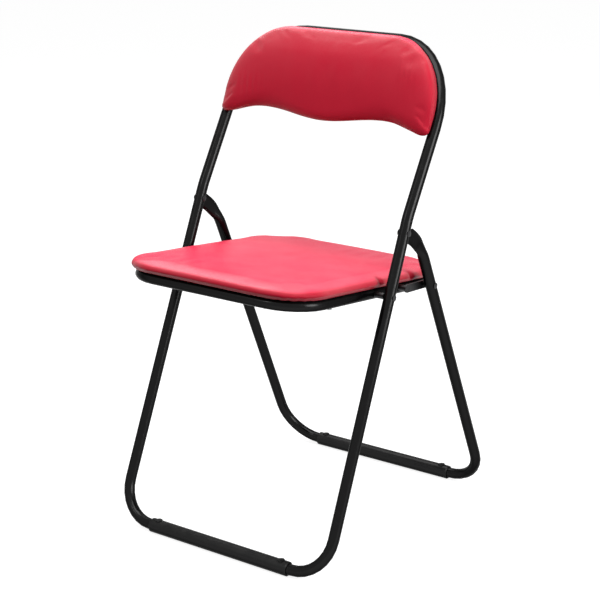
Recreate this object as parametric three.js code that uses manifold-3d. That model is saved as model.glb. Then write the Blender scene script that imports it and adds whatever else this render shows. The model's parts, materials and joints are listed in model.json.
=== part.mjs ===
// Folding chair. Two bent steel tube loops cross and turn on each other, a padded seat
// sits in a tube rim between them and a padded back is fixed to the top of the front loop.
// Millimetres, +Z up, the sitter faces -Y. The floor is z = 0.
import * as THREE from 'three';
import { mergeVertices } from 'three/addons/utils/BufferGeometryUtils.js';
import Module from 'manifold-3d';

const wasm = await Module();
wasm.setup();

// sizes shared by several pieces
const gap = 0.3;
const overrun = 4;
const tubeRadius = 9;
const tubeWall = 1.2;
const tubeSides = 16;
const boreSides = 8;

// front loop: legs, bend and bow in one tube, joined in the middle of its floor bar
const overallHeight = 785;
const barHeight = 11.3;
const frameHalfWidth = 203.3;
const footOutset = 3.9;
const footHalfWidth = frameHalfWidth + footOutset;
const rearTopOutset = 2;
const rearTopHalfWidth = frameHalfWidth + rearTopOutset;
const frontLean = THREE.MathUtils.degToRad(23.67);
const bendAbovePivot = 22.1;
const bendRadius = 140;
const bowLean = THREE.MathUtils.degToRad(30.72);
const footCornerRadius = 62;
const rearCornerRadius = 66;
const bowCornerWidth = 111;
const bowCornerRiseShare = 0.4895;

// rear loop: floor bar, legs and flattened upper ends
const rearBarSetback = 464.8;
const rearLean = THREE.MathUtils.degToRad(23.51);
const legPivotHeight = 508;
const plateHalfWidth = 12.8;
const plateThickness = 2.7;
const plateSlit = 0.3;
const plateTipRadius = 5.3;
const plateTipShares = [-0.92, -0.7, -0.36, 0];
const plateNeck = 14;
const plateArcRadius = 108;
const plateOutward = 1.4;
const plateFlatLength = 38;
const plateBlendLength = 37;
const plateSideGap = 0.35;

// floor sleeves and the studs that hold them
const sleeveRadius = 11.7;
const sleeveEndGap = 1.2;
const sleeveChamfer = 1.6;
const sleeveSides = 20;
const studRadius = 6;
const studRise = 1.2;
const studDepth = 1.6;
const studInset = 15;

// seat rim, its two braces, board and pad
const seatTilt = THREE.MathUtils.degToRad(6.6);
const rimFrontSetback = -8;
const rimFrontHeight = 437;
const rimHalfWidth = 169.5;
const rimLength = 386;
const rimFrontCorner = 59.5;
const rimRearCorner = 75;
const braceWidth = 22;
const braceThickness = 6;
const braceShares = [0.27, 0.73];
const boardThickness = 5;
const boardInset = 10;
const padHalfWidth = 184;
const padFrontReach = 17;
const padRearReach = 17;
const padFrontCorner = 72;
const padRearCorner = 90;
const padThickness = 15.2;
const seatScrewShares = [0.2, 0.8];

// back board, pad and the tabs that carry its lower corners
const backOverhang = 1.2;
const backHalfWidth = frameHalfWidth + backOverhang;
const backHeight = 156.5;
const backLobeRise = 15.5;
const backLobeBend = 1.3;
const backLobeHalfSpan = 115;
const backHumpDrop = 12;
const backLowRadius = 10;
const backCornerWidth = 107;
const backCornerRiseShare = 0.82;
const backTopDrop = 2.5;
const backBoardInset = 7;
const backPadThickness = 28.7;
const backPadLowThickness = 8.7;
const backPadRamp = 80;
const tabThickness = 2;
const tabReach = 27;
const tabRise = 17;
const upperTabInset = 20.3;

// pins
const rivetRadius = 3;
const rivetHeadRadius = 5;
const rivetHeadRise = 0.7;
const bushRadius = 5;
const linkThickness = 2.5;
const linkHalfWidth = 6.5;
const linkLift = 6;
const rimPinRaise = 3.5;
const linkHeadRadius = 4.6;
const linkHeadDepth = 1.2;
const pinSides = 12;
const screwRadius = 2;
const screwHeadRadius = 4.4;
const screwHeadRise = 1.8;
const screwBite = 3.6;
const screwSides = 10;

// materials
const paint = (color, roughness, metalness) => (
  new THREE.MeshStandardMaterial({ color, roughness, metalness }));
const blackPaint = paint(0x141415, 0.38, 0.3);
const blackPlastic = paint(0x19191a, 0.55, 0);
const redVinyl = paint(0xd9425a, 0.45, 0);
const plywood = paint(0x2a2523, 0.8, 0);
const darkSteel = paint(0x2b2b2e, 0.35, 0.8);
const zincSteel = paint(0x8b8d90, 0.35, 0.9);

// side view helpers: a point is (y, z)
const side = (y, z) => new THREE.Vector2(y, z);
const along = (start, direction, distance) => start.clone().addScaledVector(direction, distance);
const unitFrom = (a, b) => b.clone().sub(a).normalize();
const quarterTurn = (v) => side(-v.y, v.x);
const angleOf = (v) => Math.atan2(v.y, v.x);
const turned = (v, angle) => v.clone().rotateAround(side(0, 0), angle);

function crossing(p, u, q, v) {
  const t = q.clone().sub(p).cross(v) / u.cross(v);
  return along(p, u, t);
}

// side view layout
const frontFoot = side(0, barHeight);
const bendHeight = legPivotHeight + bendAbovePivot;
const bend = side(Math.tan(frontLean) * (bendHeight - barHeight), bendHeight);
const bowTopHeight = overallHeight - tubeRadius;
const bowTop = side(bend.x + Math.tan(bowLean) * (bowTopHeight - bendHeight), bowTopHeight);
const rearFoot = side(rearBarSetback, barHeight);
const legUp = unitFrom(frontFoot, bend);
const bowUp = unitFrom(bend, bowTop);
const rearUp = side(-Math.sin(rearLean), Math.cos(rearLean));
const rimFront = side(rimFrontSetback, rimFrontHeight);
const seatBack = side(Math.cos(seatTilt), -Math.sin(seatTilt));
const legPivot = along(frontFoot, legUp, (legPivotHeight - barHeight) / legUp.y);
const seatPivot = crossing(frontFoot, legUp, rimFront, seatBack);
const linkPivot = along(crossing(rearFoot, rearUp, rimFront, seatBack), rearUp, linkLift);
const pivotFromFront = seatPivot.distanceTo(rimFront);
const widthAt = (z) => footHalfWidth
  - (footHalfWidth - frameHalfWidth) * (z - barHeight) / (bendHeight - barHeight);

// folding: the rear legs swing in until they lie along the front ones, the seat with them
const legFold = angleOf(legUp.clone().negate()) - angleOf(rearUp.clone().negate());
const seatFold = angleOf(legUp.clone().negate()) - angleOf(seatBack);
const inSeat = (p, fold) => turned(p.clone().sub(seatPivot), seatTilt - fold);
const linkOpen = inSeat(linkPivot, 0);
const linkShut = inSeat(linkPivot.clone().rotateAround(legPivot, legFold), seatFold);
const linkMid = linkOpen.clone().add(linkShut).divideScalar(2);
const linkAcross = quarterTurn(linkShut.clone().sub(linkOpen));
// the pivot on the rim, as far from its open place on the rear leg as from its folded one
const rimPinReach = along(linkMid, linkAcross, (rimPinRaise - linkMid.y) / linkAcross.y).x;
const rimPin = along(along(seatPivot, seatBack, rimPinReach), quarterTurn(seatBack), rimPinRaise);

// routes: a curve whose rings stand at chosen stations
class Route extends THREE.Curve {
  constructor(points, tangents) {
    super();
    this.points = points;
    this.tangents = tangents;
    this.steps = points.length - 1;
  }

  getPoint(u, target = new THREE.Vector3()) {
    return target.copy(this.points[Math.round(u * this.steps)]);
  }

  getPointAt(u, target = new THREE.Vector3()) {
    return this.getPoint(u, target);
  }

  getTangentAt(u, target = new THREE.Vector3()) {
    return target.copy(this.tangents[Math.round(u * this.steps)]);
  }

  getSpacedPoints() {
    return this.points.map((p) => p.clone());
  }
}

class RouteDraft {
  constructor(start) {
    this.points = [start];
    this.tangents = [];
  }

  // straight to a corner, rounded at a radius, then on towards the next point
  corner(at, towards, radius, steps) {
    const from = this.points[this.points.length - 1];
    const arriving = at.clone().sub(from).normalize();
    const leaving = towards.clone().sub(at).normalize();
    const turn = arriving.angleTo(leaving);
    const reach = radius * Math.tan(turn / 2);
    const axis = arriving.clone().cross(leaving).normalize();
    const inward = axis.clone().cross(arriving);
    const begin = at.clone().addScaledVector(arriving, -reach);
    const centre = begin.clone().addScaledVector(inward, radius);
    if (this.tangents.length < this.points.length) this.tangents.push(arriving.clone());
    for (let i = 0; i <= steps; i++) {
      const angle = turn * i / steps;
      this.points.push(centre.clone().addScaledVector(inward.clone().applyAxisAngle(axis, angle), -radius));
      this.tangents.push(arriving.clone().applyAxisAngle(axis, angle));
    }
    return this;
  }

  add(point, tangent) {
    if (this.tangents.length < this.points.length) {
      const last = this.points[this.points.length - 1];
      this.tangents.push(point.clone().sub(last).normalize());
    }
    this.points.push(point);
    this.tangents.push(tangent);
    return this;
  }
}

// the other half of a route that starts or ends on the plane x = 0
function mirrored(draft) {
  const flip = (v) => v.clone().set(-v.x, v.y, v.z);
  return {
    points: draft.points.map(flip).reverse(),
    tangents: draft.tangents.map((t) => flip(t).negate()).reverse(),
  };
}

const ring = (radius, sides) => Array.from({ length: sides }, (_, i) => {
  const angle = 2 * Math.PI * i / sides;
  return new THREE.Vector2(radius * Math.cos(angle), radius * Math.sin(angle));
});

function tubeAlong(route) {
  const section = new THREE.Shape(ring(tubeRadius, tubeSides));
  section.holes.push(new THREE.Path(ring(tubeRadius - tubeWall, boreSides).reverse()));
  return new THREE.ExtrudeGeometry(section, { steps: route.steps, extrudePath: route });
}

// solids for cutting
function toSolid(geometry) {
  const bare = geometry.clone();
  bare.deleteAttribute('normal');
  bare.deleteAttribute('uv');
  const merged = mergeVertices(bare);
  return new wasm.Manifold(new wasm.Mesh({
    numProp: 3,
    vertProperties: new Float32Array(merged.attributes.position.array),
    triVerts: new Uint32Array(merged.index.array),
  }));
}

function toGeometry(solid) {
  const mesh = solid.getMesh();
  const geometry = new THREE.BufferGeometry();
  const places = new Float32Array(mesh.vertProperties);
  geometry.setAttribute('position', new THREE.BufferAttribute(places, mesh.numProp));
  geometry.setIndex(new THREE.BufferAttribute(new Uint32Array(mesh.triVerts), 1));
  geometry.computeVertexNormals();
  return geometry;
}

function cut(geometry, tools) {
  let solid = toSolid(geometry);
  for (const tool of tools) solid = solid.subtract(toSolid(tool));
  return toGeometry(solid);
}

// a round bar along X, centred on (x, y, z)
function barX(radius, length, x, y, z, sides = pinSides) {
  return new THREE.CylinderGeometry(radius, radius, length, sides).rotateZ(Math.PI / 2).translate(x, y, z);
}

// a turned piece: radius and place pairs along its axis, which is Y
function turnedPiece(profile, sides) {
  return new THREE.LatheGeometry(profile.map(([r, y]) => new THREE.Vector2(r, y)), sides);
}

// the model
const chair = new THREE.Group();
const build = new THREE.Group();
chair.add(build);

function place(name, geometry, material, group = build) {
  const mesh = new THREE.Mesh(geometry, material);
  mesh.name = name;
  group.add(mesh);
  return mesh;
}

// a turned piece whose axis runs outward along X on the given side
function placeAcross(name, geometry, material, sign, x, y, z, group = build) {
  const mesh = place(name, geometry, material, group);
  mesh.rotation.z = -sign * Math.PI / 2;
  mesh.position.set(sign * x, y, z);
  return mesh;
}

const sides = [['left', -1], ['right', 1]];

const seat = new THREE.Group();
seat.position.set(0, seatPivot.x, seatPivot.y);
seat.rotation.x = -seatTilt;
build.add(seat);

// local +Y runs up the slope of the bow, local +Z out of its front face
const back = new THREE.Group();
back.position.set(0, bend.x, bend.y);
back.rotation.x = angleOf(bowUp);
build.add(back);

// front loop
const bowLength = bend.distanceTo(bowTop);
const bowCornerRise = bowCornerRiseShare * bowLength;
const bowStart = bowLength - bowCornerRise;
const onBow = (x, rise) => {
  const p = along(bend, bowUp, rise);
  return new THREE.Vector3(x, p.x, p.y);
};
const bowCorner = (angle) => onBow(
  frameHalfWidth - bowCornerWidth * (1 - Math.cos(angle)),
  bowStart + bowCornerRise * Math.sin(angle),
);

const frontHalf = new RouteDraft(new THREE.Vector3(gap / 2, frontFoot.x, frontFoot.y));
const bendPoint = new THREE.Vector3(frameHalfWidth, bend.x, bend.y);
frontHalf
  .corner(new THREE.Vector3(footHalfWidth, frontFoot.x, frontFoot.y), bendPoint, footCornerRadius, 8)
  .corner(bendPoint, onBow(frameHalfWidth, bowLength), bendRadius, 3);
const bowSteps = 10;
for (let i = 0; i <= bowSteps; i++) {
  const angle = Math.PI / 2 * i / bowSteps;
  const lean = new THREE.Vector3(
    -bowCornerWidth * Math.sin(angle),
    bowCornerRise * Math.cos(angle) * bowUp.x,
    bowCornerRise * Math.cos(angle) * bowUp.y,
  );
  frontHalf.add(bowCorner(angle), lean.normalize());
}
const frontOther = mirrored(frontHalf);
const frontRoute = new Route(
  [...frontHalf.points, ...frontOther.points],
  [...frontHalf.tangents, ...frontOther.tangents],
);

// rear loop
const plateOffset = Math.abs(legPivot.clone().sub(rearFoot).cross(rearUp));
const plateTurn = Math.acos((plateArcRadius - plateOffset) / Math.hypot(plateArcRadius, plateNeck))
  - Math.atan2(plateNeck, plateArcRadius);
const rearDown = rearUp.clone().negate();
const plateOut = turned(rearDown, plateTurn);
const neckEnd = along(legPivot, plateOut, plateNeck);
const plateCentre = along(neckEnd, quarterTurn(plateOut), -plateArcRadius);

// stations down the upper end: distance from the pivot, place and direction
const plateStations = [];
for (const share of plateTipShares) {
  const distance = share * plateTipRadius;
  plateStations.push({ distance, at: along(legPivot, plateOut, distance), heading: plateOut });
}
const plateArcSteps = 12;
for (let i = 0; i <= plateArcSteps; i++) {
  const angle = plateTurn * i / plateArcSteps;
  plateStations.push({
    distance: plateNeck + plateArcRadius * angle,
    at: neckEnd.clone().rotateAround(plateCentre, -angle),
    heading: turned(plateOut, -angle),
  });
}

const smooth = (share) => THREE.MathUtils.smoothstep(share, 0, 1);
function plateHalfWidthAt(distance) {
  if (distance < 0) return Math.sqrt(plateTipRadius ** 2 - distance ** 2);
  return THREE.MathUtils.lerp(plateTipRadius, plateHalfWidth, Math.min(1, distance / plateNeck));
}
const flatnessAt = (distance) => 1 - smooth((distance - plateFlatLength) / plateBlendLength);

const rearHalf = new RouteDraft(new THREE.Vector3(0, rearFoot.x, rearFoot.y));
const legTop = plateStations[plateStations.length - 1];
rearHalf.corner(
  new THREE.Vector3(footHalfWidth, rearFoot.x, rearFoot.y),
  new THREE.Vector3(rearTopHalfWidth, legTop.at.x, legTop.at.y),
  rearCornerRadius,
  8,
);
for (const station of [...plateStations].reverse()) {
  rearHalf.add(
    new THREE.Vector3(rearTopHalfWidth, station.at.x, station.at.y),
    new THREE.Vector3(0, -station.heading.x, -station.heading.y),
  );
}
const rearOther = mirrored(rearHalf);
// the two halves share the ring at x = 0
const rearRoute = new Route(
  [...rearOther.points.slice(0, -1), ...rearHalf.points],
  [...rearOther.tangents.slice(0, -1), ...rearHalf.tangents],
);

// presses the upper ends flat: each ring of the round tube becomes a flat section that is
// as wide as the plate is there, and the bore closes to a slit
function flattenEnds(geometry) {
  const position = geometry.attributes.position;
  const vertex = new THREE.Vector3();
  const bore = tubeRadius - tubeWall;
  const reach = tubeRadius + tubeWall / 4;
  for (let i = 0; i < position.count; i++) {
    vertex.fromBufferAttribute(position, i);
    const flat = side(vertex.y, vertex.z);
    const off = Math.abs(vertex.x) - rearTopHalfWidth;
    let best = null;
    for (const station of plateStations) {
      const offset = flat.clone().sub(station.at);
      const ahead = Math.abs(offset.dot(station.heading));
      if (Math.hypot(offset.length(), off) < reach && (!best || ahead < best.ahead)) {
        best = { station, ahead, across: offset.dot(quarterTurn(station.heading)) };
      }
    }
    if (!best || best.ahead > gap) continue;
    const { station, across } = best;
    const press = flatnessAt(station.distance);
    if (press === 0) continue;
    const outer = Math.hypot(across, off) > bore + tubeWall / 2;
    const angle = Math.atan2(Math.abs(off), across);
    const halfWidth = plateHalfWidthAt(station.distance) - (outer ? 0 : tubeWall);
    const halfThickness = (outer ? plateThickness : plateSlit) / 2;
    const edge = Math.min(1, Math.sin(angle) / Math.sin(Math.PI / boreSides));
    const newAcross = THREE.MathUtils.lerp(across, halfWidth * (1 - 2 * angle / Math.PI), press);
    const newOff = THREE.MathUtils.lerp(off, plateOutward + Math.sign(off) * halfThickness * edge, press);
    const moved = along(station.at, quarterTurn(station.heading), newAcross);
    position.setXYZ(i, Math.sign(vertex.x) * (rearTopHalfWidth + newOff), moved.x, moved.y);
  }
  return geometry;
}

// how far along the front leg the flat end reaches, above and below its pivot, in all poses
function slotSpan() {
  let low = 0;
  let high = 0;
  const inwardLeg = quarterTurn(legUp).negate();
  const poses = 12;
  const edgeSteps = 8;
  for (const sign of [-1, 1]) {
    const edges = plateStations.map((station) => (
      along(station.at, quarterTurn(station.heading), sign * plateHalfWidthAt(station.distance))
    ));
    for (let i = 0; i < edgeSteps * (edges.length - 1); i++) {
      const from = Math.floor(i / edgeSteps);
      const edge = edges[from].clone().lerp(edges[from + 1], i / edgeSteps - from);
      for (let k = 0; k <= poses; k++) {
        const p = edge.clone().rotateAround(legPivot, legFold * k / poses).sub(legPivot);
        if (p.dot(inwardLeg) > tubeRadius + gap) continue;
        low = Math.min(low, p.dot(legUp));
        high = Math.max(high, p.dot(legUp));
      }
    }
  }
  return { low: low - 2 * gap, high: high + 2 * gap };
}
const slot = slotSpan();

const slotWidth = plateThickness + 2 * plateSideGap;
const slotCutter = new THREE.BoxGeometry(slotWidth, tubeRadius + overrun, slot.high - slot.low)
  .translate(0, (tubeRadius + overrun) / 2, (slot.high + slot.low) / 2)
  .rotateX(angleOf(legUp) - Math.PI / 2);

const pinHole = rivetRadius + gap;
const screwHole = screwRadius + gap;
const legPivotX = widthAt(legPivot.y);
const slotX = rearTopHalfWidth + plateOutward;
const seatPivotX = widthAt(seatPivot.y);
const linkPivotX = THREE.MathUtils.lerp(
  footHalfWidth,
  rearTopHalfWidth,
  (linkPivot.y - barHeight) / (legTop.at.y - barHeight),
);
const holeLength = 2 * (tubeRadius + overrun);

const frontCutters = [];
for (const [, sign] of sides) {
  frontCutters.push(slotCutter.clone().translate(sign * slotX, legPivot.x, legPivot.y));
  frontCutters.push(barX(pinHole, holeLength, sign * legPivotX, legPivot.x, legPivot.y));
  frontCutters.push(barX(pinHole, holeLength, sign * seatPivotX, seatPivot.x, seatPivot.y));
}
place('front_frame_tube', cut(tubeAlong(frontRoute), frontCutters), blackPaint);

const rearCutters = [];
for (const [, sign] of sides) {
  rearCutters.push(barX(pinHole, holeLength, sign * legPivotX, legPivot.x, legPivot.y));
  rearCutters.push(barX(pinHole, holeLength, sign * linkPivotX, linkPivot.x, linkPivot.y));
}
place('rear_leg_tube', cut(flattenEnds(tubeAlong(rearRoute)), rearCutters), blackPaint);

// floor sleeves: a tube over the straight of each floor bar, cut flat where it stands
const sleeveLength = 2 * (footHalfWidth - Math.max(footCornerRadius, rearCornerRadius) - sleeveEndGap);
const sleeveBore = tubeRadius + gap;
const studPlace = sleeveLength / 2 - studInset;

function sleeve(studs) {
  const end = sleeveLength / 2;
  const bodyProfile = [
    [sleeveBore, -end],
    [sleeveRadius - sleeveChamfer, -end],
    [sleeveRadius, -end + sleeveChamfer],
    [sleeveRadius, end - sleeveChamfer],
    [sleeveRadius - sleeveChamfer, end],
    [sleeveBore, end],
    [sleeveBore, -end],
  ];
  const tube = turnedPiece(bodyProfile, sleeveSides).rotateZ(Math.PI / 2);
  const under = new THREE.BoxGeometry(sleeveLength + 2 * overrun, 2 * sleeveRadius, overrun)
    .translate(0, 0, -barHeight - overrun / 2);
  const tools = [under];
  for (const studX of studs) {
    tools.push(new THREE.CylinderGeometry(studRadius + gap, studRadius + gap, overrun, screwSides)
      .rotateX(Math.PI / 2)
      .translate(studX, 0, sleeveRadius - studDepth + overrun / 2));
  }
  return cut(tube, tools);
}
for (const [label, foot] of [['front', frontFoot], ['rear', rearFoot]]) {
  place(`${label}_floor_sleeve`, sleeve([-studPlace, studPlace]), blackPlastic)
    .position.set(0, foot.x, foot.y);
  for (const [hand, sign] of sides) {
    const stud = turnedPiece([
      [0, -studDepth + gap],
      [studRadius, -studDepth + gap],
      [studRadius, studRise / 2],
      [studRadius / 2, studRise],
      [0, studRise],
    ], screwSides).rotateX(Math.PI / 2);
    place(`${label}_sleeve_stud_${hand}`, stud, blackPlastic)
      .position.set(sign * studPlace, foot.x, foot.y + sleeveRadius);
  }
}

// seat rim: a closed tube with its joint in the middle of the rear
const onSeat = (x, reach) => new THREE.Vector3(x, reach - pivotFromFront, 0);
const rimHalf = new RouteDraft(onSeat(gap / 2, rimLength));
rimHalf
  .corner(onSeat(rimHalfWidth, rimLength), onSeat(rimHalfWidth, 0), rimRearCorner, 6)
  .corner(onSeat(rimHalfWidth, 0), onSeat(0, 0), rimFrontCorner, 6);
const rimOther = mirrored(rimHalf);
const rimRoute = new Route(
  [...rimHalf.points, ...rimOther.points],
  [...rimHalf.tangents, ...rimOther.tangents],
);
const screwPlaces = seatScrewShares.map((share) => share * rimLength - pivotFromFront);
const rimCutters = [];
for (const [, sign] of sides) {
  rimCutters.push(barX(pinHole, holeLength, sign * rimHalfWidth, 0, 0));
  for (const reach of screwPlaces) {
    rimCutters.push(new THREE.CylinderGeometry(screwHole, screwHole, holeLength, screwSides)
      .rotateX(Math.PI / 2)
      .translate(sign * rimHalfWidth, reach, 0));
  }
}
place('seat_rim_tube', cut(tubeAlong(rimRoute), rimCutters), blackPaint, seat);

const braceNames = ['front', 'rear'];
braceShares.forEach((share, i) => {
  const length = 2 * (rimHalfWidth - tubeRadius - gap);
  const brace = new THREE.BoxGeometry(length, braceWidth, braceThickness);
  place(`seat_brace_${braceNames[i]}`, brace, blackPaint, seat).position.copy(onSeat(0, share * rimLength));
});

// outlines
function roundedOutline(halfWidth, front, rear, frontCorner, rearCorner, cornerSteps, sideSteps) {
  const points = [];
  const corner = (x, y, radius, start) => {
    for (let i = 0; i <= cornerSteps; i++) {
      const angle = start + Math.PI / 2 * i / cornerSteps;
      points.push(new THREE.Vector2(x + radius * Math.cos(angle), y + radius * Math.sin(angle)));
    }
  };
  const straight = (count, toX, toY) => {
    const from = points[points.length - 1];
    for (let i = 1; i < count; i++) {
      points.push(new THREE.Vector2(
        THREE.MathUtils.lerp(from.x, toX, i / count),
        THREE.MathUtils.lerp(from.y, toY, i / count),
      ));
    }
  };
  corner(halfWidth - rearCorner, rear - rearCorner, rearCorner, 0);
  straight(sideSteps, rearCorner - halfWidth, rear);
  corner(rearCorner - halfWidth, rear - rearCorner, rearCorner, Math.PI / 2);
  straight(sideSteps, -halfWidth, front + frontCorner);
  corner(frontCorner - halfWidth, front + frontCorner, frontCorner, Math.PI);
  straight(sideSteps, halfWidth - frontCorner, front);
  corner(halfWidth - frontCorner, front + frontCorner, frontCorner, 3 * Math.PI / 2);
  straight(sideSteps, halfWidth, rear - rearCorner);
  return points;
}

// the outline moved inward by a distance, square to itself
function insetOutline(outline, distance) {
  const count = outline.length;
  return outline.map((p, i) => {
    const before = outline[(i + count - 1) % count];
    const after = outline[(i + 1) % count];
    const run = after.clone().sub(before).normalize();
    return p.clone().addScaledVector(side(-run.y, run.x), distance);
  });
}

// an upholstered pad: rings of an outline, from the crown out, down the side, under the lip
// and back over the board. Each ring is { inset, rise } from the edge or { share, rise }.
function pad(outline, centre, rings) {
  const count = outline.length;
  const positions = [];
  const indices = [];
  const loops = rings.map(({ inset, share, rise }) => {
    const points = inset === undefined
      ? outline.map((p) => centre.clone().lerp(p, share))
      : insetOutline(outline, inset);
    return points.map((p) => [p.x, p.y, rise(p)]);
  });
  const first = loops[0];
  const last = loops[loops.length - 1];
  const middle = (loop) => [centre.x, centre.y, loop.reduce((sum, p) => sum + p[2], 0) / count];
  positions.push(...middle(first));
  for (const loop of loops) for (const p of loop) positions.push(...p);
  positions.push(...middle(last));
  const at = (loop, i) => 1 + loop * count + (i + count) % count;
  const end = 1 + loops.length * count;
  for (let i = 0; i < count; i++) {
    indices.push(0, at(0, i), at(0, i + 1));
    for (let loop = 0; loop + 1 < loops.length; loop++) {
      indices.push(at(loop, i), at(loop + 1, i), at(loop, i + 1));
      indices.push(at(loop, i + 1), at(loop + 1, i), at(loop + 1, i + 1));
    }
    indices.push(end, at(loops.length - 1, i + 1), at(loops.length - 1, i));
  }
  const geometry = new THREE.BufferGeometry();
  geometry.setAttribute('position', new THREE.Float32BufferAttribute(positions, 3));
  geometry.setIndex(indices);
  geometry.computeVertexNormals();
  return geometry;
}

// edges of the pads: inset from the widest line, as shares of the lip, and rise, as shares of
// the height from the lip to the crown
const seatEdgeShares = [
  { share: 0.35, rise: 0.99 },
  { share: 0.72, rise: 0.965 },
  { inset: 2.2, rise: 0.925 },
  { inset: 1.2, rise: 0.875 },
  { inset: 0.6, rise: 0.77 },
  { inset: 0.24, rise: 0.58 },
  { inset: 0.06, rise: 0.36 },
  { inset: 0, rise: 0.16 },
  { inset: 0.2, rise: 0.03 },
  { inset: 0.5, rise: 0 },
];
const backEdgeShares = [
  { share: 0.4, rise: 1 },
  { share: 0.72, rise: 0.995 },
  { inset: 2.1, rise: 0.97 },
  { inset: 1.3, rise: 0.91 },
  { inset: 0.62, rise: 0.8 },
  { inset: 0.16, rise: 0.64 },
  { inset: 0, rise: 0.47 },
  { inset: 0.12, rise: 0.28 },
  { inset: 0.5, rise: 0.08 },
  { inset: 0.75, rise: 0 },
];

// crownAt gives the height of the crown over a point of the outline
function padRings(edgeShares, lip, bottom, crownAt, ceiling) {
  const rings = edgeShares.map(({ share, inset, rise }) => ({
    share,
    inset: inset === undefined ? undefined : inset * lip,
    rise: (p) => bottom + (crownAt(p) - bottom) * rise,
  }));
  rings.push({ inset: lip - gap, rise: () => bottom });
  rings.push({ inset: lip - gap, rise: () => ceiling });
  return rings;
}

function board(outline, inset, thickness, holes) {
  const shape = new THREE.Shape(insetOutline(outline, inset));
  const plate = new THREE.ExtrudeGeometry(shape, { depth: thickness, bevelEnabled: false });
  return cut(plate, holes);
}

// seat board and pad
const seatTop = tubeRadius + gap;
const seatFrontY = -padFrontReach - pivotFromFront;
const seatRearY = rimLength + padRearReach - pivotFromFront;
const seatOutline = roundedOutline(padHalfWidth, seatFrontY, seatRearY, padFrontCorner, padRearCorner, 8, 5);
const seatCentre = side(0, (seatFrontY + seatRearY) / 2);
const seatHoles = [];
for (const [, sign] of sides) {
  for (const reach of screwPlaces) {
    seatHoles.push(new THREE.CylinderGeometry(screwHole, screwHole, 2 * boardThickness, screwSides)
      .rotateX(Math.PI / 2)
      .translate(sign * rimHalfWidth, reach, 0));
  }
}
place('seat_board', board(seatOutline, boardInset, boardThickness, seatHoles), plywood, seat)
  .position.z = seatTop;
const seatCeiling = seatTop + boardThickness + gap;
place('seat_cushion', pad(
  seatOutline,
  seatCentre,
  padRings(seatEdgeShares, boardInset, seatTop, () => seatCeiling + padThickness, seatCeiling),
), redVinyl, seat);

// back board and pad
const backTop = bowLength - backTopDrop;
const backLowCorner = backTop - backHeight;
const backCornerRise = backCornerRiseShare * backHeight;
function backOutline() {
  const points = [];
  const lowEdge = (x) => {
    const reach = Math.abs(x);
    const lobe = backLowCorner + backLobeRise;
    if (reach < backLobeHalfSpan) {
      return lobe - backHumpDrop * (1 + Math.cos(Math.PI * reach / backLobeHalfSpan)) / 2;
    }
    const span = backHalfWidth - backLowRadius - backLobeHalfSpan;
    return lobe - backLobeRise * smooth(((reach - backLobeHalfSpan) / span) ** backLobeBend);
  };
  const lowSteps = 14;
  const corner = backHalfWidth - backLowRadius;
  for (let i = 0; i < lowSteps; i++) {
    const x = corner * i / lowSteps;
    points.push(side(x, lowEdge(x)));
  }
  const lowCornerSteps = 4;
  for (let i = 0; i <= lowCornerSteps; i++) {
    const angle = Math.PI / 2 * (i / lowCornerSteps - 1);
    points.push(side(
      corner + backLowRadius * Math.cos(angle),
      backLowCorner + backLowRadius * (1 + Math.sin(angle)),
    ));
  }
  const topSteps = 10;
  for (let i = 0; i <= topSteps; i++) {
    const angle = Math.PI / 2 * i / topSteps;
    points.push(side(
      backHalfWidth - backCornerWidth * (1 - Math.cos(angle)),
      backTop - backCornerRise * (1 - Math.sin(angle)),
    ));
  }
  const crossSteps = 4;
  for (let i = 1; i < crossSteps; i++) {
    points.push(side((backHalfWidth - backCornerWidth) * (1 - i / crossSteps), backTop));
  }
  const otherSide = points.slice(1).map((p) => side(-p.x, p.y)).reverse();
  return [...points, side(0, backTop), ...otherSide];
}
const backEdge = backOutline();
const backCentre = side(0, (backLowCorner + backLobeRise + bowLength) / 2);

// four tabs are welded to the tube, behind the board: each runs inward from a point of the
// tube, square to it. The lower ones stand on the straight sides, or on the corners where the
// bow is tall.
const lowTabPlace = backLowCorner + backLowRadius + tabRise / 2;
const lowTabAngle = Math.asin(Math.max((lowTabPlace - bowStart) / bowCornerRise, 0));
const lowTabX = frameHalfWidth - bowCornerWidth * (1 - Math.cos(lowTabAngle));
const lowTabInward = unitFrom(
  side(0, 0),
  side(-bowCornerRise * Math.cos(lowTabAngle), -bowCornerWidth * Math.sin(lowTabAngle)),
);
const upperTabX = frameHalfWidth - bowCornerWidth - upperTabInset;
const tabs = [];
for (const [hand, sign] of sides) {
  tabs.push({
    label: `lower_${hand}`,
    from: side(sign * lowTabX, lowTabPlace),
    inward: side(sign * lowTabInward.x, lowTabInward.y),
  });
  tabs.push({ label: `upper_${hand}`, from: side(sign * upperTabX, bowLength), inward: side(0, -1) });
}
for (const tab of tabs) tab.screw = along(tab.from, tab.inward, (tubeRadius + tabReach) / 2);
const backHoles = tabs.map(({ screw }) => (
  new THREE.CylinderGeometry(screwHole, screwHole, 2 * boardThickness, screwSides)
    .rotateX(Math.PI / 2)
    .translate(screw.x, screw.y, 0)));
place('back_board', board(backEdge, backBoardInset, boardThickness, backHoles), plywood, back)
  .position.z = seatTop;
// thin at the lower edge, full from a ramp's length above it
const backCrown = (p) => seatCeiling + THREE.MathUtils.lerp(
  backPadLowThickness,
  backPadThickness,
  smooth((p.y - backLowCorner) / backPadRamp),
);
place('back_cushion', pad(
  backEdge,
  backCentre,
  padRings(backEdgeShares, backBoardInset, seatTop, backCrown, seatCeiling),
), redVinyl, back);

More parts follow.
